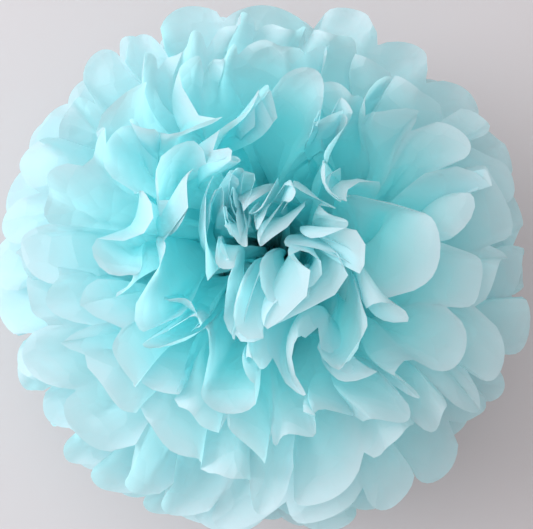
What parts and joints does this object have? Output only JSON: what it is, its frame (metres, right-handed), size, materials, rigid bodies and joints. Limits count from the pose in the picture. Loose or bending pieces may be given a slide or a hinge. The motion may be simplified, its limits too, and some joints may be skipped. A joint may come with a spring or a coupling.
{
  "type": "tissue paper pom pom",
  "caption": "Ball of pleated tissue sheets gathered in a wire tie and fluffed into petals, lying with one flower face up. Party and room decoration.",
  "frame": {"origin": "on the table, under the middle of the ball's outline", "axes": "+Z from the table through the tie to the centre of the upper flower face; +X along the wire's twisted tail and the seam between the two fans of each sheet"},
  "size_m": [0.3465, 0.3462, 0.3241],
  "materials": {
    "aqua_tissue": "matt translucent tissue",
    "florist_wire": "soft bare steel"
  },
  "bodies": {
    "root": {"tissue_sheet_01": "aqua_tissue", "tissue_sheet_02": "aqua_tissue", "tissue_sheet_03": "aqua_tissue", "tissue_sheet_04": "aqua_tissue", "tissue_sheet_05": "aqua_tissue", "tissue_sheet_06": "aqua_tissue", "tissue_sheet_07": "aqua_tissue", "tissue_sheet_08": "aqua_tissue", "tissue_sheet_09": "aqua_tissue", "tissue_sheet_10": "aqua_tissue", "tissue_sheet_11": "aqua_tissue", "tissue_sheet_12": "aqua_tissue", "wire_tie": "florist_wire"}
  },
  "joints": []
}
